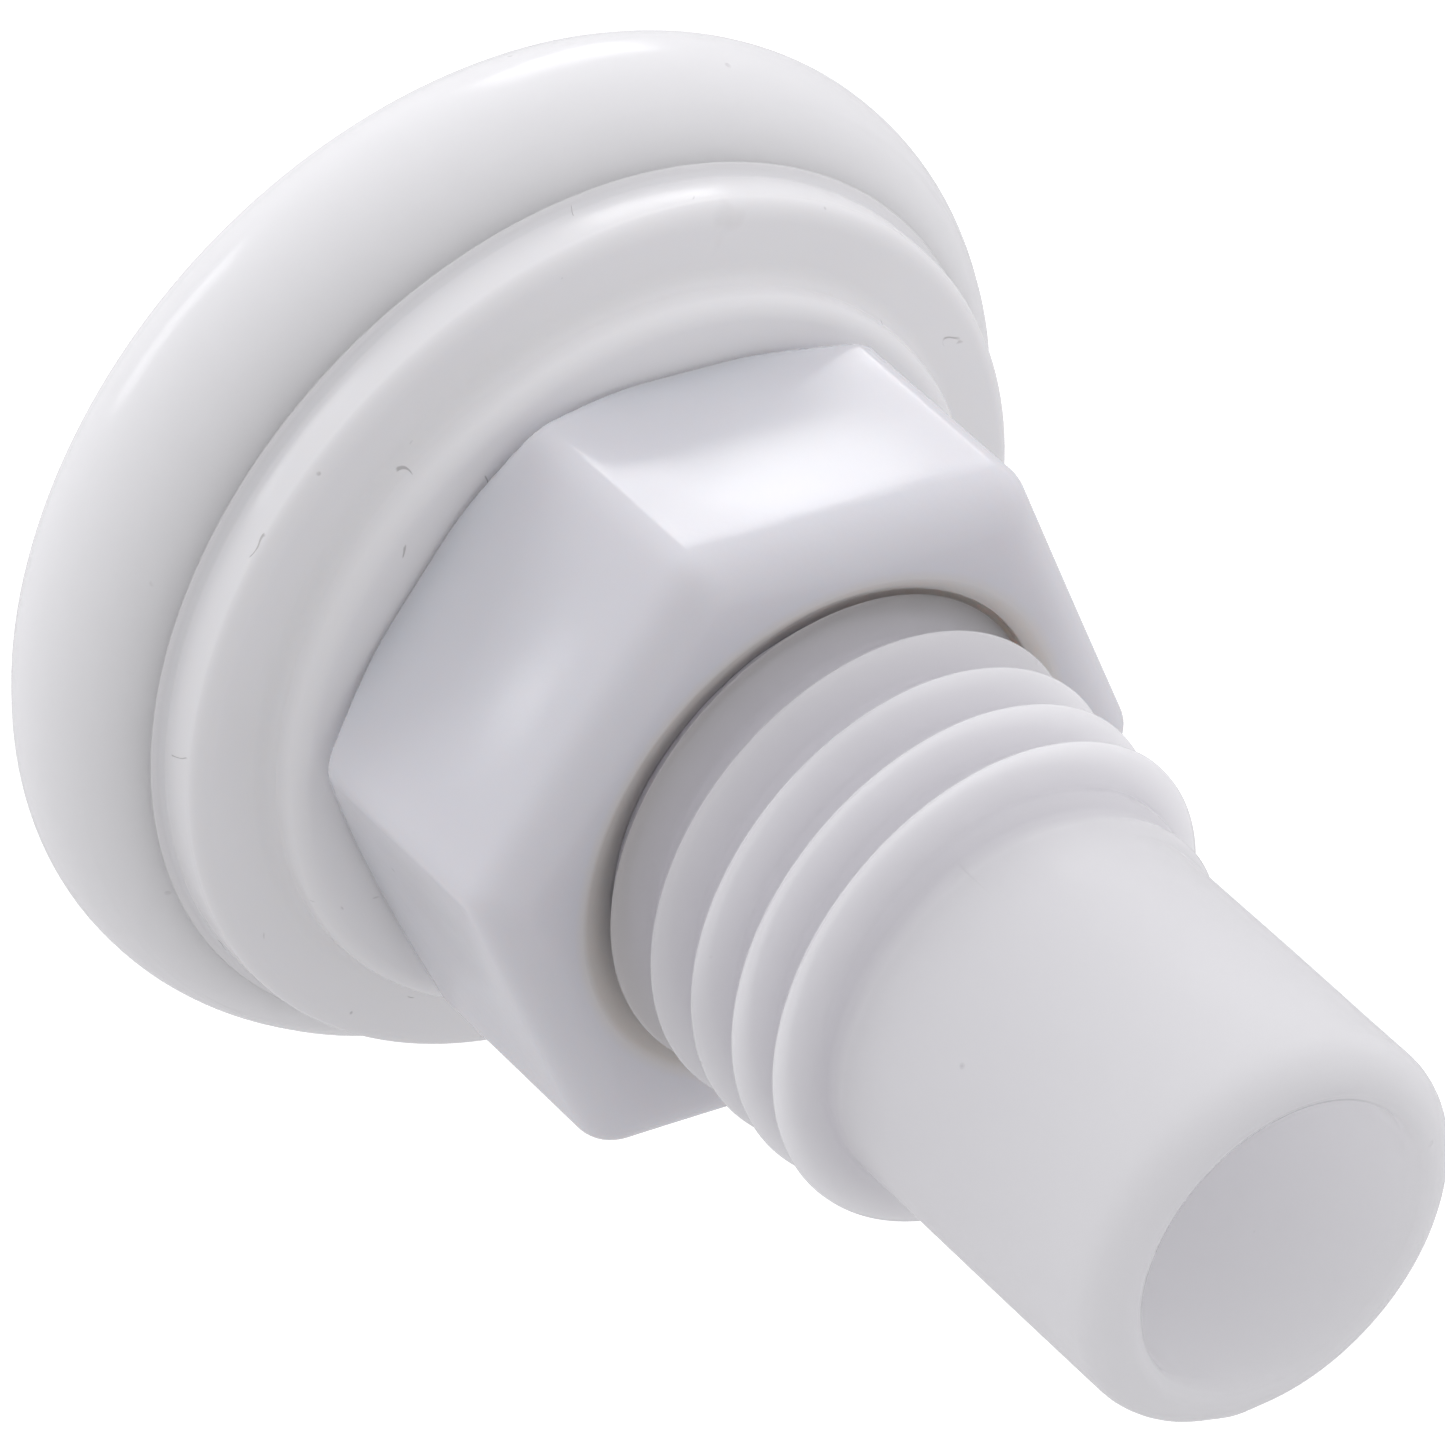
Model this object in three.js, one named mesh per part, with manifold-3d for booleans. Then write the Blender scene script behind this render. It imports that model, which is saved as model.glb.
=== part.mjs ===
// Thru-hull fitting for a boat: a moulded plastic body (mushroom head, threaded shank and hose
// spigot in one piece, bored right through), a stepped rubber gasket and a hexagonal clamp nut.
// Millimetres. The axis is +Z, the head's outer face lies on z = 0 and the spigot points up.
import * as THREE from 'three';
import { mergeVertices } from 'three/addons/utils/BufferGeometryUtils.js';
import Module from 'manifold-3d';

// ---------------------------------------------------------------- driving dimensions
const AROUND = 32; // facets in one turn of every round shape
const ARC_STEPS = 4; // facets in one rounded edge

const HEAD_RADIUS = 28.15;
const HEAD_THICKNESS = 10.8;
const RIM_FILLET = 3.9; // rounding between the head's outer face and its widest line
const SEAT_RADIUS = 25.55; // flat ring that the gasket lies on

const SPIGOT_RADIUS = 10.65; // half-inch pipe size
const SPIGOT_END_Z = 69.75;
const LIP_FILLET = 2.3;
const BORE_RADIUS = 8.1;
const MOUTH_FILLET = 1.4; // rounding of the bore where it opens in the head

const THREAD_RADIUS = 13.0;
const THREAD_DEPTH = 1.8;
const THREAD_PITCH = 25.4 / 7.5; // seven and a half threads to the inch
const THREAD_FLANK = THREE.MathUtils.degToRad(30); // slope of each side of the ridge
const THREAD_CREST = 0.5; // width of the ridge's flat top
const THREAD_START_Z = HEAD_THICKNESS + 1.38;
const THREAD_TURNS = 10.9;
const THREAD_LEAD_IN = 0.25; // turns over which the ridge rises, next to the head
const THREAD_RUN_OUT = 0.35; // turns over which it sinks again, next to the spigot
const SHANK_END_Z = HEAD_THICKNESS + 37.6;

const GAP = 0.25; // between pieces that press on each other
const GASKET_RADIUS = 24.45;
const GASKET_BORE_RADIUS = 13.4;
const GASKET_FLANGE = 3.4; // height of the wide ring above the seat
const GASKET_COLLAR_RADIUS = 20.4; // step that centres the gasket in the hole in the hull
const GASKET_HEIGHT = 5.85;
const GASKET_FILLET = 1.0;

const NUT_BOTTOM_Z = HEAD_THICKNESS + GASKET_HEIGHT + GAP;
const NUT_HEIGHT = 15.5;
const NUT_ACROSS_FLATS = 34.3;
const NUT_CORNER_ROUND = 1.6;
const NUT_BEARING_RADIUS = 17.6; // where the chamfer of the lower corners starts
const NUT_FRONT_RADIUS = 18.0; // where the chamfer of the upper corners starts
const NUT_CHAMFER = THREE.MathUtils.degToRad(30);
const NUT_COUNTERSINK_RADIUS = 14.05;
const THREAD_CLEARANCE = 0.3; // between the nut's thread and the shank's

const THREAD_ROOT_RADIUS = THREAD_RADIUS - THREAD_DEPTH;
const SUNK = 0.4; // how far the ridge's foot is buried in the solid that carries it
const PAST = 1; // how far a cutting tool runs past the face that it cuts

// ---------------------------------------------------------------- joining and cutting
const wasm = await Module();
wasm.setup();

function toSolid(geometry) {
  const bare = geometry.clone();
  bare.deleteAttribute('normal');
  bare.deleteAttribute('uv');
  const merged = mergeVertices(bare, 1e-5);
  return new wasm.Manifold(new wasm.Mesh({
    numProp: 3,
    vertProperties: Float32Array.from(merged.attributes.position.array),
    triVerts: Uint32Array.from(merged.index.array),
  }));
}

function toGeometry(solid) {
  const mesh = solid.getMesh();
  const geometry = new THREE.BufferGeometry();
  geometry.setAttribute('position', new THREE.BufferAttribute(mesh.vertProperties, 3));
  geometry.setIndex(new THREE.BufferAttribute(mesh.triVerts, 1));
  geometry.computeVertexNormals();
  return geometry;
}

// ---------------------------------------------------------------- shapes
// Points of a quarter ellipse in the (radius, height) plane, without its first point.
function arc(centre, radii, fromDegrees, toDegrees) {
  const points = [];
  for (let i = 1; i <= ARC_STEPS; i += 1) {
    const angle = THREE.MathUtils.degToRad(
      THREE.MathUtils.lerp(fromDegrees, toDegrees, i / ARC_STEPS),
    );
    points.push([
      centre[0] + radii[0] * Math.cos(angle),
      centre[1] + radii[1] * Math.sin(angle),
    ]);
  }
  return points;
}

// Solid of revolution about Z. The outline runs counter-clockwise in the (radius, height) plane:
// outwards along the bottom, up the outside and back along the top. It may leave the axis open.
function turned(outline) {
  const closed = [...outline, outline[0]];
  const lathe = new THREE.LatheGeometry(
    closed.map(([radius, height]) => new THREE.Vector2(radius, height)),
    AROUND,
  );
  return lathe.rotateX(Math.PI / 2);
}

// Solid screw ridge about Z. Its middle is at height startZ where its angle is 0, at azimuth 0.
// Angles are in turns. sink(turn) goes from 0, full height, to 1, buried.
function screwRidge({ fromTurn, toTurn, startZ, footRadius, topRadius, buriedRadius, grow, sink }) {
  const steps = Math.ceil((toTurn - fromTurn) * AROUND);
  const slope = Math.tan(THREAD_FLANK);
  const positions = [];
  for (let i = 0; i <= steps; i += 1) {
    const turn = Math.min(fromTurn + i / AROUND, toTurn);
    const azimuth = turn * 2 * Math.PI;
    const middle = startZ + THREAD_PITCH * turn;
    const top = THREE.MathUtils.lerp(topRadius, buriedRadius, sink(turn));
    const topHalf = THREAD_CREST / 2 + grow + slope * (topRadius - top);
    const footHalf = THREAD_CREST / 2 + grow + slope * THREAD_DEPTH;
    const section = [
      [footRadius, -footHalf],
      [top, -Math.min(topHalf, footHalf)],
      [top, Math.min(topHalf, footHalf)],
      [footRadius, footHalf],
    ];
    for (const [radius, height] of section) {
      positions.push(radius * Math.cos(azimuth), radius * Math.sin(azimuth), middle + height);
    }
  }
  const index = [0, 1, 2, 0, 2, 3];
  for (let i = 0; i < steps; i += 1) {
    for (let side = 0; side < 4; side += 1) {
      const a = 4 * i + side;
      const b = 4 * i + ((side + 1) % 4);
      index.push(a, a + 4, b, b, a + 4, b + 4);
    }
  }
  const last = 4 * steps;
  index.push(last, last + 2, last + 1, last, last + 3, last + 2);
  const geometry = new THREE.BufferGeometry();
  geometry.setAttribute('position', new THREE.Float32BufferAttribute(positions, 3));
  geometry.setIndex(index);
  return geometry;
}

// ---------------------------------------------------------------- body
function bodyBlank() {
  const headFlat = HEAD_RADIUS - RIM_FILLET;
  const backHeight = HEAD_THICKNESS - RIM_FILLET;
  return turned([
    ...arc([BORE_RADIUS + MOUTH_FILLET, MOUTH_FILLET], [MOUTH_FILLET, MOUTH_FILLET], 180, 270),
    [headFlat, 0],
    ...arc([headFlat, RIM_FILLET], [RIM_FILLET, RIM_FILLET], 270, 360),
    ...arc([SEAT_RADIUS, RIM_FILLET], [HEAD_RADIUS - SEAT_RADIUS, backHeight], 0, 90),
    [THREAD_ROOT_RADIUS, HEAD_THICKNESS],
    [THREAD_ROOT_RADIUS, SHANK_END_Z],
    [SPIGOT_RADIUS, SHANK_END_Z + THREAD_ROOT_RADIUS - SPIGOT_RADIUS],
    [SPIGOT_RADIUS, SPIGOT_END_Z - LIP_FILLET],
    ...arc([SPIGOT_RADIUS - LIP_FILLET, SPIGOT_END_Z - LIP_FILLET], [LIP_FILLET, LIP_FILLET], 0, 90),
    [BORE_RADIUS, SPIGOT_END_Z],
  ]);
}

function shankThread() {
  return screwRidge({
    fromTurn: 0,
    toTurn: THREAD_TURNS,
    startZ: THREAD_START_Z,
    footRadius: SPIGOT_RADIUS - SUNK,
    topRadius: THREAD_RADIUS,
    buriedRadius: SPIGOT_RADIUS - SUNK / 2,
    grow: 0,
    sink: (turn) => Math.max(
      1 - turn / THREAD_LEAD_IN,
      1 - (THREAD_TURNS - turn) / THREAD_RUN_OUT,
      0,
    ),
  });
}

function fittingBody() {
  return toGeometry(toSolid(bodyBlank()).add(toSolid(shankThread())));
}

// ---------------------------------------------------------------- gasket
function gasket() {
  const bottom = HEAD_THICKNESS + GAP;
  const flangeTop = HEAD_THICKNESS + GASKET_FLANGE;
  const top = HEAD_THICKNESS + GASKET_HEIGHT;
  const round = [GASKET_FILLET, GASKET_FILLET];
  return turned([
    [GASKET_BORE_RADIUS, bottom],
    [GASKET_RADIUS, bottom],
    [GASKET_RADIUS, flangeTop - GASKET_FILLET],
    ...arc([GASKET_RADIUS - GASKET_FILLET, flangeTop - GASKET_FILLET], round, 0, 90),
    [GASKET_COLLAR_RADIUS, flangeTop],
    [GASKET_COLLAR_RADIUS, top - GASKET_FILLET],
    ...arc([GASKET_COLLAR_RADIUS - GASKET_FILLET, top - GASKET_FILLET], round, 0, 90),
    [GASKET_BORE_RADIUS, top],
  ]);
}

// ---------------------------------------------------------------- nut
function hexagonPrism() {
  const inset = NUT_ACROSS_FLATS / 2 - NUT_CORNER_ROUND;
  const centreRadius = inset / Math.cos(Math.PI / 6);
  const outline = new THREE.Shape();
  for (let corner = 0; corner < 6; corner += 1) {
    const azimuth = (corner * Math.PI) / 3;
    outline.absarc(
      centreRadius * Math.cos(azimuth),
      centreRadius * Math.sin(azimuth),
      NUT_CORNER_ROUND,
      azimuth - Math.PI / 6,
      azimuth + Math.PI / 6,
      false,
    );
  }
  const prism = new THREE.ExtrudeGeometry(outline, {
    depth: NUT_HEIGHT,
    bevelEnabled: false,
    curveSegments: ARC_STEPS,
  });
  return prism.translate(0, 0, NUT_BOTTOM_Z);
}

// Drum with sloping shoulders, whose overlap with the prism chamfers the prism's corners.
function chamferDrum() {
  const outer = NUT_ACROSS_FLATS;
  const slope = Math.tan(NUT_CHAMFER);
  const top = NUT_BOTTOM_Z + NUT_HEIGHT;
  return turned([
    [0, NUT_BOTTOM_Z],
    [NUT_BEARING_RADIUS, NUT_BOTTOM_Z],
    [outer, NUT_BOTTOM_Z + slope * (outer - NUT_BEARING_RADIUS)],
    [outer, top - slope * (outer - NUT_FRONT_RADIUS)],
    [NUT_FRONT_RADIUS, top],
    [0, top],
  ]);
}

// Plain hole with a countersink at both ends.
function nutHole() {
  const radius = THREAD_ROOT_RADIUS + THREAD_CLEARANCE;
  const depth = NUT_COUNTERSINK_RADIUS - radius;
  const top = NUT_BOTTOM_Z + NUT_HEIGHT;
  return turned([
    [0, NUT_BOTTOM_Z - PAST],
    [NUT_COUNTERSINK_RADIUS + PAST, NUT_BOTTOM_Z - PAST],
    [radius, NUT_BOTTOM_Z + depth],
    [radius, top - depth],
    [NUT_COUNTERSINK_RADIUS + PAST, top + PAST],
    [0, top + PAST],
  ]);
}

// The shank's ridge, grown by the running clearance and long enough to cut the whole nut.
function nutThread() {
  const turnAt = (z) => (z - THREAD_START_Z) / THREAD_PITCH;
  return screwRidge({
    fromTurn: turnAt(NUT_BOTTOM_Z - THREAD_PITCH),
    toTurn: turnAt(NUT_BOTTOM_Z + NUT_HEIGHT + THREAD_PITCH),
    startZ: THREAD_START_Z,
    footRadius: THREAD_ROOT_RADIUS - SUNK,
    topRadius: THREAD_RADIUS + THREAD_CLEARANCE,
    buriedRadius: THREAD_ROOT_RADIUS,
    grow: THREAD_CLEARANCE,
    sink: () => 0,
  });
}

function hexNut() {
  const blank = toSolid(hexagonPrism()).intersect(toSolid(chamferDrum()));
  return toGeometry(blank.subtract(toSolid(nutHole())).subtract(toSolid(nutThread())));
}

// ---------------------------------------------------------------- assembly
function piece(name, geometry, colour, roughness) {
  const material = new THREE.MeshStandardMaterial({ color: colour, roughness, metalness: 0 });
  const mesh = new THREE.Mesh(geometry, material);
  mesh.name = name;
  return mesh;
}

const fitting = new THREE.Group();
fitting.add(piece('fitting_body', fittingBody(), 0xe9e9ee, 0.35));
fitting.add(piece('gasket', gasket(), 0xd6d3d0, 0.6));
fitting.add(piece('hex_nut', hexNut(), 0xe4e4f0, 0.3));

export default fitting;
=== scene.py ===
"""Looks of the thru-hull fitting: milky moulded body, stepped rubber gasket and white hex nut."""

import math

import bmesh
import bpy
from mathutils import Matrix, Vector, noise


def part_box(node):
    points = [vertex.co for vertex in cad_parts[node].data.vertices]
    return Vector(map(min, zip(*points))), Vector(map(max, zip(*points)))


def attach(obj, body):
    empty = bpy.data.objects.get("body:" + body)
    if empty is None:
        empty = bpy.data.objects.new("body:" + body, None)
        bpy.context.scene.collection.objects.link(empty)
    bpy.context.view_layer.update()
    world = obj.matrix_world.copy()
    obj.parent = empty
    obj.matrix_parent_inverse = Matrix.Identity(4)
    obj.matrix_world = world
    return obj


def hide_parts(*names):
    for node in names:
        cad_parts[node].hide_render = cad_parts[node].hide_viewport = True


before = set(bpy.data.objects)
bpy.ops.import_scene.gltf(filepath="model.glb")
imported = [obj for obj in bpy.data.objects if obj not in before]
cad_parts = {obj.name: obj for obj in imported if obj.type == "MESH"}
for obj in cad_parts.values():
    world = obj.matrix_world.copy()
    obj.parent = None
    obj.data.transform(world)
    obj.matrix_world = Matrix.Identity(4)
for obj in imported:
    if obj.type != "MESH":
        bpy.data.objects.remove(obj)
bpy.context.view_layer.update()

MM = 0.001
TURN = 2 * math.pi
CLOSE = 0.01  # mm; points nearer than this to a face or a wall lie on it
WOBBLE_RADIUS = 12  # mm; at this radius the mouldings' unevenness is as tall as it is wide

# ------------------------------------------------------------------ dimensions from the frame
BODY_LOW, BODY_HIGH = (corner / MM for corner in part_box("fitting_body"))
GASKET_LOW, GASKET_HIGH = (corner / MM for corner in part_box("gasket"))
NUT_LOW, NUT_HIGH = (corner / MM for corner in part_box("hex_nut"))

HEAD_RADIUS = BODY_HIGH.x
SPIGOT_END_Z = BODY_HIGH.z
GASKET_TOP_Z = GASKET_HIGH.z
GASKET_RADIUS = GASKET_HIGH.x
NUT_BOTTOM_Z = NUT_LOW.z
NUT_TOP_Z = NUT_HIGH.z
NUT_FLAT_DISTANCE = NUT_HIGH.y

# ------------------------------------------------------------------ body, mm
SEAT_GAP = 0.25  # between the head and the gasket in the frame
SEAT_Z = GASKET_LOW.z - SEAT_GAP
SEAT_RADIUS = 24.6  # of the flat that the gasket lies on
RIM_FILLET = 5.9  # height of the head's rounded seat side
RIM_SWEEP = 62  # degrees that the seat side turns through from the rim up to the flat
FACE_FILLET = 4.6  # rounding of the head's outer face
SPIGOT_RADIUS = 10.65
LIP_FILLET = 2.3
LIP_SWEEP = 82  # degrees; the rest slopes down to the bore
LIP_INNER_DROP = 0.35  # the lip's inner edge lies this far below its top
BORE_RADIUS = 8.1
MOUTH_FILLET = 1.4
BODY_UNEVENNESS = 0.03
BODY_INSET = 0.05  # keeps the uneven rim and lip inside the body's box
BODY_INSET_REACH = 1.0  # the inset applies this near the box's sides and end

GATE_MARK_AZIMUTH = math.radians(148)
GATE_MARK_DROP = 1.0  # from the spigot's end
GATE_MARK_HEIGHT = 0.12
GATE_MARK_SIZE = (0.9, 0.6)  # around and along

THREAD_RADIUS = 13.0
THREAD_DEPTH = 1.8
THREAD_PITCH = 25.4 / 7.5
THREAD_FLANK = math.radians(30)
THREAD_CREST = 0.2  # width of its flat top
THREAD_START_Z = SEAT_Z + 1.38
THREAD_TURNS = 10.9
THREAD_LEAD_IN = 0.25  # turns
THREAD_RUN_OUT = 0.35  # turns
THREAD_ROUND = 0.07  # softness of the ridge's edges and roots
THREAD_UNEVENNESS = 0.02
ROOT_RADIUS = THREAD_RADIUS - THREAD_DEPTH
SHANK_END_Z = SEAT_Z + 37.6
SHANK_TAPER = 1.2  # length over which the shank narrows to the spigot
SCREW_FOOT = 0.05  # from the seat to the start of the climbing rows
SCREW_SPARE = 0.1  # turns that the climbing rows have more than the thread
SCREW_HEAD = 0.3  # from the end of the climbing rows to the spigot's first ring
THREAD_SHADE_RADII = (9.8, 10.3)  # the thread's painted shade begins between these, well outside the bore
THREAD_SHADE_END_Z = SHANK_END_Z + 0.6

# ------------------------------------------------------------------ gasket, mm
GASKET_BOTTOM_Z = SEAT_Z + 0.03  # lies all but on the seat
GASKET_FLANGE_Z = SEAT_Z + 3.4
GASKET_COLLAR_RADIUS = 20.4
GASKET_BORE_RADIUS = 13.4
GASKET_FILLET = 1.0
GASKET_CREASE_FILLET = 0.9
GASKET_FOOT = 0.5  # how far the clamped rubber spreads at the seat
GASKET_FOOT_EDGE = 0.05  # height of the foot's outer edge
GASKET_BULGE = 0.1
GASKET_UNEVENNESS = 0.05
GASKET_INSET = 0.06  # keeps the uneven rubber inside the gasket's box
GASKET_SKIN = 0.1  # the rubber is uneven from this far inside the collar's wall outwards
GASKET_FINE = 0.12  # row spacing on the gasket's small roundings
GASKET_FOOT_FINE = 0.1

# ------------------------------------------------------------------ nut, mm
NUT_CORNER_ROUND = 1.6
NUT_CORNER_CROWDING = 0.8  # 0 spaces the columns evenly, just under 1 crowds them at the corners
NUT_BEARING_RADIUS = 17.6
NUT_FRONT_RADIUS = 18.0
NUT_CHAMFER = math.radians(30)
NUT_REAR_SOFTNESS = 0.35  # of the line where a side meets the rear chamfer
NUT_FRONT_SOFTNESS = 1.6
NUT_EDGE_FILLET = (2.4, 2.6)  # front edge of the nut: inward and along the axis
NUT_COUNTERSINK_RADIUS = 14.05
NUT_COUNTERSINK_SLOPE = 2.2
NUT_HOLE_SOFTNESS = 0.15
NUT_SINK = 0.24  # how far each flat has shrunk in at its middle
THREAD_CLEARANCE = 0.3
HOLE_SHADE_RADII = (13.8, 14.6)  # painted shade of the hole: the nut's colour turns yellowish and a little darker between these, towards its hole

# ------------------------------------------------------------------ mesh density
AROUND = 192  # columns in one turn
ROWS_PER_PITCH = 26  # on the thread
FINE = 0.3  # row spacing on rounded profiles, mm
COARSE = 1.2  # row spacing on straight stretches, mm
NUT_CHAMFER_HEIGHTS = (0, 0.08, 0.2, 0.4, 0.7, 1.0, 1.3, 1.6, 1.9, 2.3, 3.0)  # of its rows, mm
NUT_SIDE_ROWS = 18
NUT_FILLET_ROWS = 16
NUT_REAR_SHARES = (0, 0.25, 0.5, 0.75)  # rings on the bearing face, from the hole outwards
NUT_FRONT_SHARES = (0.06, 0.15, 0.3, 0.5, 0.7, 0.85, 0.96)  # rings on the front face, inwards
NUT_HOLE_STEP = 0.16  # mm

# ------------------------------------------------------------------ camera, as the object is seen
CAMERA_AIM = (0.00012, -0.00047, 0.02323)  # metres
CAMERA_AZIMUTH = math.radians(14.42)
CAMERA_ELEVATION = math.radians(39.5)
CAMERA_ROLL = math.radians(-132.37)
CAMERA_DISTANCE = 0.60013  # metres
CAMERA_LENS = 305.7  # mm
CAMERA_SENSOR = 36.0  # mm

# ------------------------------------------------------------------ studio
STUDIO_LIGHT = 0.53  # from every side
STUDIO_COLOUR = (0.975, 0.965, 1)
STUDIO_GLOWS = [  # direction as the camera's right, up and backward, added strength, start
    ((0.15, 0.75, -0.55), 0.15, -0.9),
    ((-0.9, -0.1, -0.2), 0.18, 0.2),
    ((0.2, 0.95, 0.2), 0.35, 0.3),
    ((0.9, -0.1, 0.0), 0.12, 0.2),
]
SOFTBOX_DISTANCE = 0.8  # metres
FLOOR_HALF = 3.0  # metres
FLOOR_DROP = 0.0002  # metres; keeps the floor clear of the head's face


# ================================================================== mesh helpers
def link(name, mesh):
    piece = bpy.data.objects.new(name, mesh)
    bpy.context.scene.collection.objects.link(piece)
    return piece


def smooth_mesh(name, points, faces):
    """A smooth-shaded object from points in millimetres."""
    mesh = bpy.data.meshes.new(name)
    mesh.from_pydata([Vector(p) * MM for p in points], [], faces)
    mesh.validate()
    shaper = bmesh.new()
    shaper.from_mesh(mesh)
    bmesh.ops.recalc_face_normals(shaper, faces=shaper.faces)
    shaper.to_mesh(mesh)
    shaper.free()
    mesh.polygons.foreach_set("use_smooth", [True] * len(mesh.polygons))
    return link(name, mesh)


def line(start, end, step):
    """Points after start, up to and with end, no further apart than step."""
    (r0, z0), (r1, z1) = start, end
    count = max(1, math.ceil(math.hypot(r1 - r0, z1 - z0) / step))
    return [(r0 + (r1 - r0) * i / count, z0 + (z1 - z0) * i / count) for i in range(1, count + 1)]


def bend(centre, radii, from_degrees, to_degrees, step=FINE):
    """Points of an elliptic arc in the (radius, height) plane, without its first point."""
    sweep = math.radians(abs(to_degrees - from_degrees))
    count = max(3, math.ceil(sweep * max(radii) / step))
    points = []
    for i in range(1, count + 1):
        angle = math.radians(from_degrees + (to_degrees - from_degrees) * i / count)
        points.append((centre[0] + radii[0] * math.cos(angle), centre[1] + radii[1] * math.sin(angle)))
    return points


def azimuths():
    return [TURN * j / AROUND for j in range(AROUND)]


def corner_azimuths():
    """As many columns, crowded together at the six corners of the nut."""
    return [a - NUT_CORNER_CROWDING * math.sin(6 * a) / 6 for a in azimuths()]


def ring(point_at, columns=None):
    """One closed ring of points; point_at(azimuth) gives (radius, height)."""
    points = []
    for azimuth in columns or azimuths():
        radius, height = point_at(azimuth)
        points.append((radius * math.cos(azimuth), radius * math.sin(azimuth), height))
    return points


class Grid:
    """Collects rings of points and the quads between them."""

    def __init__(self):
        self.points = []
        self.faces = []

    def add_ring(self, points):
        first = len(self.points)
        self.points.extend(points)
        return list(range(first, first + len(points)))

    def bridge(self, lower, upper):
        count = len(lower)
        for j in range(count):
            k = (j + 1) % count
            self.faces.append((lower[j], lower[k], upper[k], upper[j]))

    def chain(self, rings):
        for lower, upper in zip(rings, rings[1:]):
            self.bridge(lower, upper)


def smooth_max(a, b, softness):
    """The larger of two numbers, with the corner between them rounded."""
    overlap = max(softness - abs(a - b), 0) / softness
    return max(a, b) + overlap * overlap * softness / 4


def smooth_min(a, b, softness):
    return -smooth_max(-a, -b, softness)


def wobble(azimuth, height, size, seed):
    """Gentle unevenness of a moulded surface, between about -1 and 1."""
    rise = height * size / WOBBLE_RADIUS
    return noise.noise(Vector((math.cos(azimuth) * size, math.sin(azimuth) * size, rise + seed)))


# ================================================================== thread
def ridge_height(offset, turn, grow=0.0):
    """Height of the screw ridge over its root, at an axial offset from its middle."""
    flank = THREAD_DEPTH - (abs(offset) - THREAD_CREST / 2 - grow) / math.tan(THREAD_FLANK)
    height = smooth_min(flank, THREAD_DEPTH, THREAD_ROUND)
    rise = min(turn / THREAD_LEAD_IN, (THREAD_TURNS - turn) / THREAD_RUN_OUT, 1)
    if rise <= 0:
        return 0.0
    fade = rise * rise * (3 - 2 * rise)
    return smooth_max(height * fade, 0, THREAD_ROUND * fade)


def shank_radius(height):
    """Radius of the shank under the thread: it narrows to the spigot at the end of the thread."""
    t = min(max((height - SHANK_END_Z + SHANK_TAPER) / SHANK_TAPER, 0), 1)
    t = t * t * (3 - 2 * t)
    return ROOT_RADIUS + (SPIGOT_RADIUS - ROOT_RADIUS) * t


def shank_rings(grid):
    """The threaded stretch. Its rows climb with the screw, so the ridge's edges stay clean."""
    first = SEAT_Z + SCREW_FOOT
    rows = round((THREAD_TURNS + SCREW_SPARE) * ROWS_PER_PITCH)
    index = []
    for i in range(rows + 1):
        points = []
        for j, azimuth in enumerate(azimuths()):
            height = first + THREAD_PITCH * (i / ROWS_PER_PITCH + j / AROUND)
            lap = round((height - THREAD_START_Z) / THREAD_PITCH - j / AROUND)
            turn = lap + j / AROUND
            offset = height - THREAD_START_Z - THREAD_PITCH * turn
            radius = shank_radius(height) + ridge_height(offset, turn)
            radius += THREAD_UNEVENNESS * wobble(azimuth, height, size=2.2, seed=7.0)
            points.append((radius * math.cos(azimuth), radius * math.sin(azimuth), height))
        index.append(grid.add_ring(points))
    last = AROUND - 1
    for i in range(rows):
        for j in range(last):
            grid.faces.append((index[i][j], index[i][j + 1], index[i + 1][j + 1], index[i + 1][j]))
        above = i + ROWS_PER_PITCH
        if above < rows:
            grid.faces.append((index[i][last], index[above][0], index[above + 1][0], index[i + 1][last]))
    return index


def close_screw_start(grid, index, flat):
    """Joins a flat ring below to the climbing rows, with one many-sided face at their step."""
    last = AROUND - 1
    for j in range(last):
        grid.faces.append((flat[j], flat[j + 1], index[0][j + 1], index[0][j]))
    step = [index[k][0] for k in range(ROWS_PER_PITCH + 1)]
    grid.faces.append([flat[last], flat[0]] + step + [index[0][last]])


def close_screw_end(grid, index, flat):
    """Joins the climbing rows to a flat ring above."""
    last = AROUND - 1
    top = len(index) - 1
    for j in range(last):
        grid.faces.append((index[top][j], index[top][j + 1], flat[j + 1], flat[j]))
    step = [index[k][last] for k in range(top - ROWS_PER_PITCH, top + 1)]
    grid.faces.append([index[top][0], flat[0], flat[last]] + step[::-1])


# ================================================================== body
def lip_mark(azimuth, height):
    """The trimmed stub of the mould's gate on the spigot's lip."""
    around = math.remainder(azimuth - GATE_MARK_AZIMUTH, TURN) * SPIGOT_RADIUS / GATE_MARK_SIZE[0]
    along = (height - (SPIGOT_END_Z - GATE_MARK_DROP)) / GATE_MARK_SIZE[1]
    return GATE_MARK_HEIGHT * math.exp(-(around ** 2) - along ** 2)


def head_outline():
    flat_radius = HEAD_RADIUS - FACE_FILLET
    back = SEAT_Z - RIM_FILLET
    outline = [(BORE_RADIUS, MOUTH_FILLET)]
    mouth = (BORE_RADIUS + MOUTH_FILLET, MOUTH_FILLET)
    outline += bend(mouth, (MOUTH_FILLET, MOUTH_FILLET), 180, 270)
    outline += line(outline[-1], (flat_radius, 0), COARSE)
    outline += bend((flat_radius, FACE_FILLET), (FACE_FILLET, FACE_FILLET), 270, 360)
    outline += line(outline[-1], (HEAD_RADIUS, back), FINE)
    sweep = math.radians(RIM_SWEEP)
    rim = ((HEAD_RADIUS - SEAT_RADIUS) / (1 - math.cos(sweep)), RIM_FILLET / math.sin(sweep))
    outline += bend((HEAD_RADIUS - rim[0], back), rim, 0, RIM_SWEEP)
    outline += line(outline[-1], (ROOT_RADIUS, SEAT_Z), COARSE)
    return outline


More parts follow.
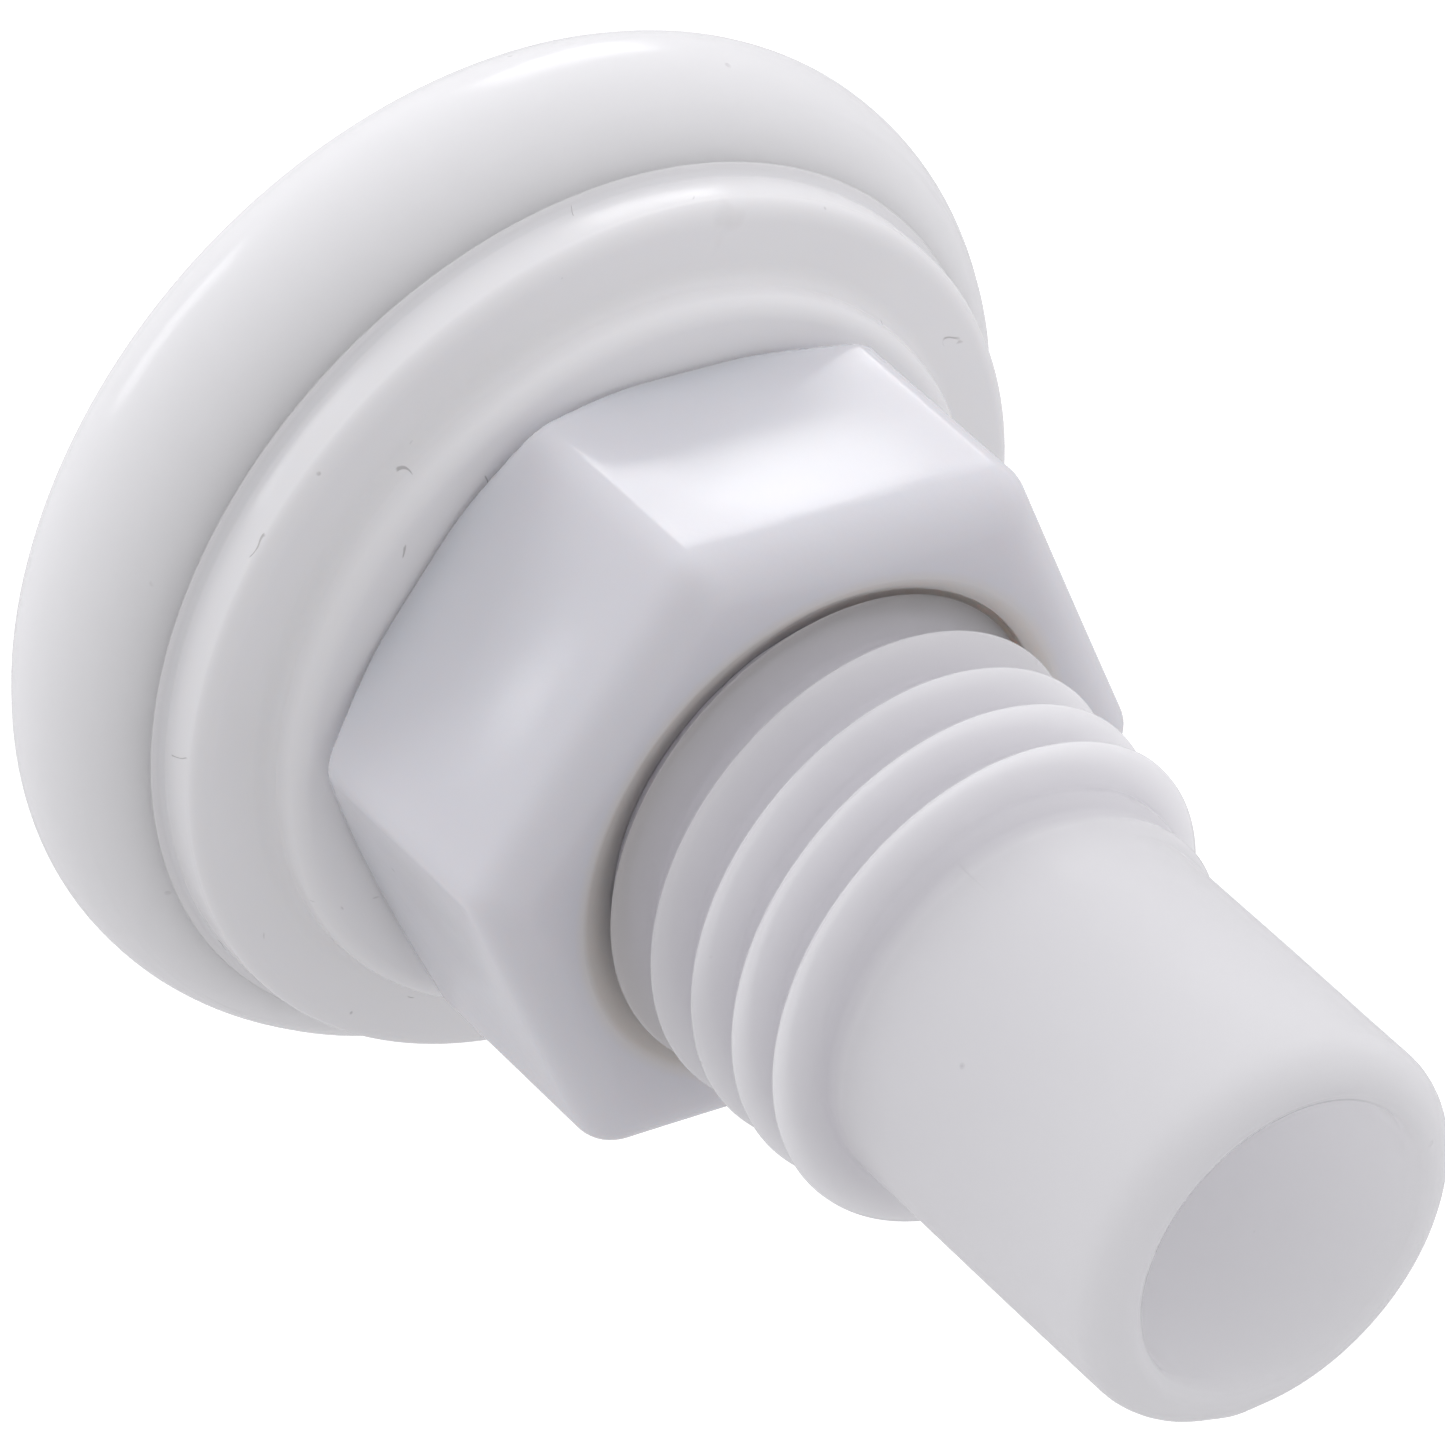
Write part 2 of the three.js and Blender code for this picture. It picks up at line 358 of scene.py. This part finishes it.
def spigot_outline(start_z):
    outline = [(SPIGOT_RADIUS, start_z)]
    outline += line(outline[-1], (SPIGOT_RADIUS, SPIGOT_END_Z - LIP_FILLET), COARSE)
    centre = (SPIGOT_RADIUS - LIP_FILLET, SPIGOT_END_Z - LIP_FILLET)
    outline += bend(centre, (LIP_FILLET, LIP_FILLET), 0, LIP_SWEEP)
    inner = (BORE_RADIUS, SPIGOT_END_Z - LIP_INNER_DROP)
    outline += line(outline[-1], inner, FINE)
    outline += line(inner, (BORE_RADIUS, MOUTH_FILLET + COARSE), COARSE)
    return outline


def body_point(point):
    """A ring's radius and height, with the slight unevenness of the moulding."""
    radius, height = point

    def at(azimuth):
        flat = height < CLOSE or abs(height - SEAT_Z) < CLOSE
        uneven = 0 if flat else BODY_UNEVENNESS * wobble(azimuth, height, size=1.3, seed=2.0)
        mark = 0 if radius <= BORE_RADIUS + CLOSE else lip_mark(azimuth, height)
        near_rim = radius > HEAD_RADIUS - BODY_INSET_REACH
        near_end = height > SPIGOT_END_Z - BODY_INSET_REACH
        return radius + uneven + mark - (BODY_INSET if near_rim or near_end else 0), height

    return at


def make_body():
    grid = Grid()
    head = [grid.add_ring(ring(body_point(p))) for p in head_outline()]
    grid.chain(head)
    index = shank_rings(grid)
    close_screw_start(grid, index, head[-1])
    end_z = max(grid.points[i][2] for i in index[-1]) + SCREW_HEAD
    spigot = [grid.add_ring(ring(body_point(p))) for p in spigot_outline(end_z)]
    close_screw_end(grid, index, spigot[0])
    grid.chain(spigot)
    grid.bridge(spigot[-1], head[0])
    return smooth_mesh("moulded_body", grid.points, grid.faces)


# ================================================================== gasket
def gasket_wall(start, radius, top_z):
    """One upright wall and the rounding of its upper edge."""
    shoulder = top_z - GASKET_FILLET
    centre = (radius - GASKET_FILLET, shoulder)
    wall = line(start, (radius, shoulder), FINE)
    return wall + bend(centre, (GASKET_FILLET, GASKET_FILLET), 0, 90, GASKET_FINE)


def gasket_outline():
    crease = GASKET_CREASE_FILLET
    foot = GASKET_FOOT
    foot_radius = GASKET_RADIUS + foot
    crease_radius = GASKET_COLLAR_RADIUS + crease
    outline = [(GASKET_BORE_RADIUS, GASKET_BOTTOM_Z)]
    outline += line(outline[-1], (foot_radius, GASKET_BOTTOM_Z), COARSE)
    foot_radii = (foot, foot - GASKET_FOOT_EDGE)
    outline += bend((foot_radius, GASKET_BOTTOM_Z + foot), foot_radii, 270, 180, GASKET_FOOT_FINE)
    outline += gasket_wall(outline[-1], GASKET_RADIUS, GASKET_FLANGE_Z)
    outline += line(outline[-1], (crease_radius, GASKET_FLANGE_Z), FINE)
    outline += bend((crease_radius, GASKET_FLANGE_Z + crease), (crease, crease), 270, 180, GASKET_FINE)
    outline += gasket_wall(outline[-1], GASKET_COLLAR_RADIUS, GASKET_TOP_Z)
    outline += line(outline[-1], (GASKET_BORE_RADIUS, GASKET_TOP_Z), COARSE)
    outline += line(outline[-1], (GASKET_BORE_RADIUS, GASKET_BOTTOM_Z + COARSE), COARSE)
    return outline


def wall_hollow(radius, height):
    """The gasket's two walls are a little fuller at mid-height than at their ends."""
    if abs(radius - GASKET_RADIUS) < CLOSE:
        middle, half = (GASKET_BOTTOM_Z + GASKET_FLANGE_Z) / 2, (GASKET_FLANGE_Z - GASKET_BOTTOM_Z) / 2
    elif abs(radius - GASKET_COLLAR_RADIUS) < CLOSE:
        middle, half = (GASKET_FLANGE_Z + GASKET_TOP_Z) / 2, (GASKET_TOP_Z - GASKET_FLANGE_Z) / 2
    else:
        return 0
    return GASKET_BULGE * ((height - middle) / half) ** 2


def gasket_point(point):
    radius, height = point

    def at(azimuth):
        outside = radius > GASKET_COLLAR_RADIUS - GASKET_SKIN and height > GASKET_BOTTOM_Z + CLOSE
        uneven = GASKET_UNEVENNESS * wobble(azimuth, height, size=2.0, seed=11.0) if outside else 0
        return radius - GASKET_INSET + uneven - wall_hollow(radius, height), height

    return at


def make_gasket():
    grid = Grid()
    rings = [grid.add_ring(ring(gasket_point(p))) for p in gasket_outline()]
    grid.chain(rings + rings[:1])
    return smooth_mesh("rubber_gasket", grid.points, grid.faces)


# ================================================================== nut
def hexagon_radius(azimuth):
    """Distance from the axis to the side of a hexagon with rounded corners."""
    off_corner = abs(math.remainder(azimuth, math.pi / 3))
    flat = NUT_FLAT_DISTANCE / math.cos(math.pi / 6 - off_corner)
    if flat * math.sin(off_corner) >= NUT_CORNER_ROUND * math.sin(math.pi / 6):
        return flat
    centre = (NUT_FLAT_DISTANCE - NUT_CORNER_ROUND) / math.cos(math.pi / 6)
    reach = centre * math.sin(off_corner)
    return centre * math.cos(off_corner) + math.sqrt(NUT_CORNER_ROUND ** 2 - reach ** 2)


def flat_sink(azimuth, height):
    """How far the middle of a flat has shrunk in, at this azimuth and height."""
    across = math.cos(3 * math.remainder(azimuth - math.pi / 6, math.pi / 3)) ** 2
    shoulder = NUT_TOP_Z - NUT_EDGE_FILLET[1]
    share = min((height - NUT_BOTTOM_Z) / (shoulder - NUT_BOTTOM_Z), 1)
    return NUT_SINK * across * math.sin(math.pi * share) ** 2


def nut_side(azimuth, height):
    """Radius of the nut's outside, with the corners' chamfers and the front edge's rounding."""
    slope = math.tan(NUT_CHAMFER)
    side = hexagon_radius(azimuth) - flat_sink(azimuth, height)
    lower = NUT_BEARING_RADIUS + (height - NUT_BOTTOM_Z) / slope
    upper = NUT_FRONT_RADIUS + (NUT_TOP_Z - height) / slope
    return smooth_min(smooth_min(side, lower, NUT_REAR_SOFTNESS), upper, NUT_FRONT_SOFTNESS)


def nut_hole_radius(azimuth, height):
    """Radius of the threaded hole."""
    lap = (height - THREAD_START_Z) / THREAD_PITCH - azimuth / TURN
    offset = (lap - round(lap)) * THREAD_PITCH
    minor = ROOT_RADIUS + THREAD_CLEARANCE
    groove = minor + ridge_height(offset, THREAD_TURNS / 2, THREAD_CLEARANCE)
    front = NUT_COUNTERSINK_RADIUS - NUT_COUNTERSINK_SLOPE * (NUT_TOP_Z - height)
    back = NUT_COUNTERSINK_RADIUS - (height - NUT_BOTTOM_Z)
    return smooth_max(smooth_max(groove, front, NUT_HOLE_SOFTNESS), back, NUT_HOLE_SOFTNESS)


def make_nut():
    grid = Grid()
    rings = []
    columns = corner_azimuths()

    def add(radius_at, height):
        rings.append(grid.add_ring(ring(lambda a: (radius_at(a), height), columns)))

    bottom, top = NUT_BOTTOM_Z, NUT_TOP_Z
    inward, along = NUT_EDGE_FILLET
    shoulder = top - along

    for t in NUT_REAR_SHARES:
        add(
            lambda a, t=t: NUT_COUNTERSINK_RADIUS * (1 - t) + nut_side(a, bottom) * t,
            bottom,
        )
    for rise in NUT_CHAMFER_HEIGHTS:
        add(lambda a, h=bottom + rise: nut_side(a, h), bottom + rise)
    first = bottom + NUT_CHAMFER_HEIGHTS[-1]
    for i in range(1, NUT_SIDE_ROWS + 1):
        height = first + (shoulder - first) * i / NUT_SIDE_ROWS
        add(lambda a, h=height: nut_side(a, h), height)
    for i in range(1, NUT_FILLET_ROWS + 1):
        angle = math.pi / 2 * i / NUT_FILLET_ROWS
        drop = inward * (1 - math.cos(angle))
        add(lambda a, d=drop: nut_side(a, shoulder) - d, shoulder + along * math.sin(angle))
    for t in NUT_FRONT_SHARES:
        add(
            lambda a, t=t: (nut_side(a, shoulder) - inward) * (1 - t) + NUT_COUNTERSINK_RADIUS * t,
            top,
        )
    hole_rows = round((top - bottom) / NUT_HOLE_STEP)
    for i in range(hole_rows + 1):
        height = top - (top - bottom) * i / hole_rows
        add(lambda a, h=height: nut_hole_radius(a, h), height)
    grid.chain(rings[:-1] + rings[:1])
    return smooth_mesh("clamp_nut", grid.points, grid.faces)


# ================================================================== materials
class Nodes:
    """Short calls for building a node material."""

    def __init__(self, name):
        self.material = bpy.data.materials.new(name)
        self.material.use_nodes = True
        self.tree = self.material.node_tree
        self.shader = self.tree.nodes["Principled BSDF"]
        coordinates = self.tree.nodes.new("ShaderNodeTexCoord")
        self.place = coordinates.outputs["Object"]

    def link(self, source, target):
        self.tree.links.new(source, target)

    def noise(self, scale, detail=3.0, roughness=0.5, distortion=0.0):
        node = self.tree.nodes.new("ShaderNodeTexNoise")
        node.inputs["Scale"].default_value = scale
        node.inputs["Detail"].default_value = detail
        node.inputs["Roughness"].default_value = roughness
        node.inputs["Distortion"].default_value = distortion
        self.link(self.place, node.inputs["Vector"])
        return node.outputs["Fac"]

    def dots(self, scale, inner, outer):
        """Round specks, fading from inner to outer, in cell widths."""
        node = self.tree.nodes.new("ShaderNodeTexVoronoi")
        node.inputs["Scale"].default_value = scale
        self.link(self.place, node.inputs["Vector"])
        return self.remap(node.outputs["Distance"], inner, outer, 1, 0)

    def height(self):
        """Height along the part's axis, in metres."""
        node = self.tree.nodes.new("ShaderNodeSeparateXYZ")
        self.link(self.place, node.inputs[0])
        return node.outputs["Z"]

    def from_axis(self):
        """Distance from the part's axis, in metres."""
        level = self.tree.nodes.new("ShaderNodeVectorMath")
        level.operation = "MULTIPLY"
        level.inputs[1].default_value = (1, 1, 0)
        self.link(self.place, level.inputs[0])
        length = self.tree.nodes.new("ShaderNodeVectorMath")
        length.operation = "LENGTH"
        self.link(level.outputs["Vector"], length.inputs[0])
        return length.outputs["Value"]

    def contour(self, scale, width):
        """Thin curved lines, where a noise passes through its middle value."""
        away = self.maths("ABSOLUTE", self.maths("SUBTRACT", self.noise(scale, 1), 0.5), 0)
        return self.remap(away, width * 0.5, width, 1, 0)

    def ramp(self, source, stops):
        node = self.tree.nodes.new("ShaderNodeValToRGB")
        elements = node.color_ramp.elements
        while len(elements) > 1:
            elements.remove(elements[-1])
        for i, (position, colour) in enumerate(stops):
            element = elements[0] if i == 0 else elements.new(position)
            element.position = position
            element.color = (*colour, 1)
        self.link(source, node.inputs["Fac"])
        return node.outputs["Color"]

    def remap(self, source, low, high, to_low, to_high):
        node = self.tree.nodes.new("ShaderNodeMapRange")
        for name, value in (("From Min", low), ("From Max", high), ("To Min", to_low), ("To Max", to_high)):
            node.inputs[name].default_value = value
        self.link(source, node.inputs["Value"])
        return node.outputs["Result"]

    def maths(self, operation, a, b):
        node = self.tree.nodes.new("ShaderNodeMath")
        node.operation = operation
        for socket, value in zip(node.inputs, (a, b)):
            if isinstance(value, (int, float)):
                socket.default_value = value
            else:
                self.link(value, socket)
        return node.outputs[0]

    def mix(self, factor, a, b):
        node = self.tree.nodes.new("ShaderNodeMix")
        node.data_type = "RGBA"
        self.link(factor, node.inputs["Factor"])
        for socket, value in ((node.inputs["A"], a), (node.inputs["B"], b)):
            if isinstance(value, tuple):
                socket.default_value = (*value, 1)
            else:
                self.link(value, socket)
        return node.outputs["Result"]

    def bump(self, layers):
        """Stacks (height, strength, distance in mm) layers and sends them to the shader."""
        previous = None
        for height, strength, distance in layers:
            node = self.tree.nodes.new("ShaderNodeBump")
            node.inputs["Strength"].default_value = strength
            node.inputs["Distance"].default_value = distance * MM
            self.link(height, node.inputs["Height"])
            if previous:
                self.link(previous, node.inputs["Normal"])
            previous = node.outputs["Normal"]
        self.link(previous, self.shader.inputs["Normal"])

    def set(self, **values):
        for name, value in values.items():
            self.shader.inputs[name.replace("_", " ")].default_value = value


def milky_plastic():
    """Translucent white plastic of the body: light spreads inside it, and the thread is darkened with
    painted shade.
    """
    n = Nodes("milky_plastic")
    clouds = n.noise(55, 4, 0.55)
    flow = n.noise(160, 3, 0.5, 0.8)
    clean = n.ramp(clouds, [(0.3, (0.955, 0.95, 0.965)), (0.7, (0.97, 0.965, 0.98))])
    specks = n.maths("MULTIPLY", n.dots(300, 0.04, 0.07), n.remap(n.noise(240, 1), 0.56, 0.62, 0, 0.6))
    height = n.height()
    outside = n.remap(n.from_axis(), THREAD_SHADE_RADII[0] * MM, THREAD_SHADE_RADII[1] * MM, 0, 1)
    below_end = n.remap(height, THREAD_SHADE_END_Z * MM, (THREAD_SHADE_END_Z - 1) * MM, 0, 1)
    above_seat = n.remap(height, SEAT_Z * MM, (SEAT_Z + 1) * MM, 0, 1)
    threaded = n.maths("MULTIPLY", n.maths("MULTIPLY", outside, below_end), above_seat)
    # Painted shade: the threaded stretch gets a darker grey base colour in place of its shading.
    base = n.mix(threaded, clean, (0.75, 0.74, 0.765))
    n.link(n.mix(specks, base, (0.5, 0.48, 0.47)), n.shader.inputs["Base Color"])
    n.link(n.remap(flow, 0.3, 0.7, 0.15, 0.21), n.shader.inputs["Roughness"])
    n.bump([(n.noise(90, 3), 0.25, 0.25), (n.noise(1400, 2), 0.12, 0.03)])
    n.set(Subsurface_Weight=1.0, Subsurface_Scale=0.013, IOR=1.5, Specular_IOR_Level=0.22)
    n.set(Subsurface_Radius=(1.0, 1.0, 1.0))
    return n.material


def white_plastic():
    """Denser, cooler white plastic of the nut, glossier than the body."""
    n = Nodes("white_nut_plastic")
    clean = n.ramp(n.noise(70, 4), [(0.3, (0.755, 0.755, 0.79)), (0.7, (0.785, 0.785, 0.82))])
    # Painted shade: the nut turns yellowish and a little darker towards its shadowed hole.
    near_hole = n.remap(n.from_axis(), HOLE_SHADE_RADII[0] * MM, HOLE_SHADE_RADII[1] * MM, 1, 0)
    painted_hole_shade = n.mix(near_hole, clean, (0.78, 0.745, 0.70))
    grime = n.maths("MULTIPLY", n.dots(260, 0.03, 0.07), n.remap(n.noise(210, 1), 0.6, 0.64, 0, 0.45))
    n.link(n.mix(grime, painted_hole_shade, (0.45, 0.43, 0.42)), n.shader.inputs["Base Color"])
    n.link(n.remap(n.noise(220, 3), 0.3, 0.7, 0.13, 0.2), n.shader.inputs["Roughness"])
    n.bump([(n.noise(120, 3), 0.2, 0.2), (n.noise(2600, 2), 0.2, 0.02)])
    n.set(Subsurface_Weight=0.7, Subsurface_Scale=0.004, IOR=1.5)
    n.set(Subsurface_Radius=(1.2, 1.0, 0.9))
    return n.material


def off_white_rubber():
    """Off-white rubber of the gasket: satin, with faint grime, specks and a few hairs of lint."""
    n = Nodes("off_white_rubber")
    clean = n.ramp(n.noise(60, 5, 0.6), [(0.3, (0.97, 0.965, 0.965)), (0.7, (0.985, 0.98, 0.98))])
    smudge = n.remap(n.noise(95, 4, 0.6), 0.66, 0.8, 0, 0.5)
    base = n.mix(smudge, clean, (0.72, 0.70, 0.69))
    lint = n.maths("MULTIPLY", n.contour(310, 0.007), n.remap(n.noise(430, 1), 0.69, 0.72, 0, 0.5))
    grains = n.maths("MULTIPLY", n.dots(520, 0.04, 0.08), n.remap(n.noise(330, 2), 0.62, 0.68, 0, 0.6))
    dirt = n.maths("MAXIMUM", lint, grains)
    n.link(n.mix(dirt, base, (0.3, 0.28, 0.27)), n.shader.inputs["Base Color"])
    n.link(n.remap(n.noise(300, 3), 0.3, 0.7, 0.17, 0.26), n.shader.inputs["Roughness"])
    n.bump([(n.noise(140, 3), 0.25, 0.15), (n.noise(1500, 3), 0.2, 0.02)])
    n.set(Subsurface_Weight=0.25, Subsurface_Scale=0.0025, IOR=1.45)
    n.set(Subsurface_Radius=(1.1, 1.0, 0.9))
    return n.material


def pale_floor():
    """Plain and evenly bright, so that the object stands out from it."""
    n = Nodes("pale_floor")
    n.set(Base_Color=(0.35, 0.35, 0.35, 1), Roughness=0.9)
    n.set(Emission_Color=(1, 1, 1, 1), Emission_Strength=0.9)
    return n.material


# ================================================================== stage
def camera_axes():
    """The camera's right, up and backward directions."""
    level = math.cos(CAMERA_ELEVATION)
    backward = Vector((
        level * math.cos(CAMERA_AZIMUTH),
        level * math.sin(CAMERA_AZIMUTH),
        math.sin(CAMERA_ELEVATION),
    ))
    right = Vector((-math.sin(CAMERA_AZIMUTH), math.cos(CAMERA_AZIMUTH), 0))
    up = backward.cross(right)
    turn = Matrix.Rotation(-CAMERA_ROLL, 3, backward)
    return turn @ right, turn @ up, backward


def add_camera():
    right, up, backward = camera_axes()
    data = bpy.data.cameras.new("camera")
    data.lens = CAMERA_LENS
    data.sensor_width = CAMERA_SENSOR
    camera = bpy.data.objects.new("camera", data)
    bpy.context.scene.collection.objects.link(camera)
    turn = Matrix((right, up, backward)).transposed()
    camera.matrix_world = turn.to_4x4()
    camera.location = Vector(CAMERA_AIM) + CAMERA_DISTANCE * backward
    bpy.context.scene.camera = camera


def stage_direction(towards):
    """A fixed direction in the studio, given by the camera's right, up and backward."""
    right, up, backward = camera_axes()
    return (right * towards[0] + up * towards[1] + backward * towards[2]).normalized()


def add_softbox(name, azimuth, elevation, width, height, brightness, colour):
    """A rectangular lamp seen from the object in this direction, in degrees."""
    level = math.cos(math.radians(elevation))
    direction = Vector((
        level * math.cos(math.radians(azimuth)),
        level * math.sin(math.radians(azimuth)),
        math.sin(math.radians(elevation)),
    ))
    data = bpy.data.lights.new(name, "AREA")
    data.shape = "RECTANGLE"
    data.size = width
    data.size_y = height
    data.energy = brightness * math.pi * width * height
    data.color = colour
    lamp = bpy.data.objects.new(name, data)
    bpy.context.scene.collection.objects.link(lamp)
    aim = Vector((0, 0, (BODY_LOW.z + BODY_HIGH.z) / 2 * MM))
    lamp.location = aim + SOFTBOX_DISTANCE * direction
    lamp.rotation_euler = direction.to_track_quat("Z", "Y").to_euler()


def add_world():
    """Even studio light plus broad, soft glows; a glow rises from its start, a cosine, to its direction."""
    world = bpy.data.worlds.new("studio")
    world.use_nodes = True
    tree = world.node_tree
    direction = tree.nodes.new("ShaderNodeTexCoord").outputs["Generated"]
    total = None
    for towards, strength, start in STUDIO_GLOWS:
        facing = tree.nodes.new("ShaderNodeVectorMath")
        facing.operation = "DOT_PRODUCT"
        facing.inputs[1].default_value = stage_direction(towards)
        rise = tree.nodes.new("ShaderNodeMapRange")
        rise.interpolation_type = "SMOOTHSTEP"
        rise.inputs["From Min"].default_value = start
        rise.inputs["From Max"].default_value = 1.0
        rise.inputs["To Min"].default_value = 0.0
        rise.inputs["To Max"].default_value = strength
        add = tree.nodes.new("ShaderNodeMath")
        add.inputs[1].default_value = STUDIO_LIGHT
        tree.links.new(direction, facing.inputs[0])
        tree.links.new(facing.outputs["Value"], rise.inputs["Value"])
        tree.links.new(rise.outputs["Result"], add.inputs[0])
        if total:
            tree.links.new(total, add.inputs[1])
        total = add.outputs[0]
    background = tree.nodes["Background"]
    background.inputs["Color"].default_value = (*STUDIO_COLOUR, 1)
    tree.links.new(total, background.inputs["Strength"])
    bpy.context.scene.world = world


def add_floor():
    half = FLOOR_HALF
    mesh = bpy.data.meshes.new("floor")
    corners = [(-half, -half, 0), (half, -half, 0), (half, half, 0), (-half, half, 0)]
    mesh.from_pydata(corners, [], [(0, 1, 2, 3)])
    floor = link("floor", mesh)
    floor.location.z = -FLOOR_DROP
    floor.data.materials.append(pale_floor())
    # The floor is only looked at: it neither lights the object nor shades it from the lamps below.
    for rays in ("diffuse", "glossy", "transmission", "shadow"):
        setattr(floor, "visible_" + rays, False)


# ================================================================== assembly
def place(piece, material, body, node):
    piece.data.materials.append(material)
    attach(piece, body)
    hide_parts(node)


bpy.context.scene.view_settings.view_transform = "Standard"
# Pale plastic passes light on many times before it is lost.
bpy.context.scene.cycles.max_bounces = 24
bpy.context.scene.cycles.diffuse_bounces = 16
add_camera()
add_world()
# The camera is rolled, so what looks like light from above comes from below the floor.
# The far strip makes the highlight on the nut's upper face, the near one the streak along the rim.
add_softbox(
    "far_strip", azimuth=-73, elevation=-45.8,
    width=0.37, height=0.17, brightness=3.4, colour=(1, 1, 1),
)
add_softbox(
    "near_strip", azimuth=29, elevation=-54,
    width=0.38, height=0.2, brightness=4.2, colour=(0.97, 0.98, 1),
)
add_floor()

place(make_body(), milky_plastic(), "fitting", "fitting_body")
place(make_gasket(), off_white_rubber(), "gasket_carrier", "gasket")
place(make_nut(), white_plastic(), "nut", "hex_nut")
